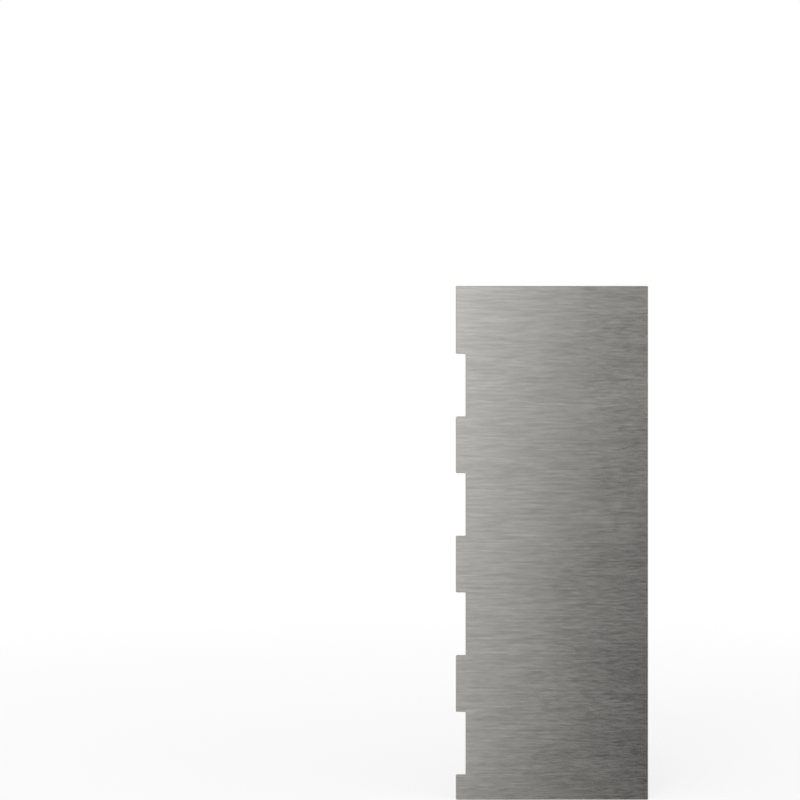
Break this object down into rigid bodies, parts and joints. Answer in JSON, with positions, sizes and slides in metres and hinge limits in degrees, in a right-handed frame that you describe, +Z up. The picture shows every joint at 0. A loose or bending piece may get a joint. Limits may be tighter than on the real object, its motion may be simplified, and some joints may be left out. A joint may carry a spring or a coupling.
{
  "type": "icing smoother",
  "caption": "Tall flat stainless plate with shallow rectangular notches down one long edge, for combing stripes into icing.",
  "frame": {"origin": "middle of the base edge, halfway through the sheet", "axes": "+Z up the plate's height as it is held in use, from the base edge to the top edge; +X from the notched edge to the straight edge; Y through the sheet, with the faces towards -Y and +Y"},
  "size_m": [0.095, 0.0012, 0.254],
  "materials": {
    "brushed_stainless": "brushed across the width, satin"
  },
  "bodies": {
    "root": {"smoother_plate": "brushed_stainless"}
  },
  "joints": []
}
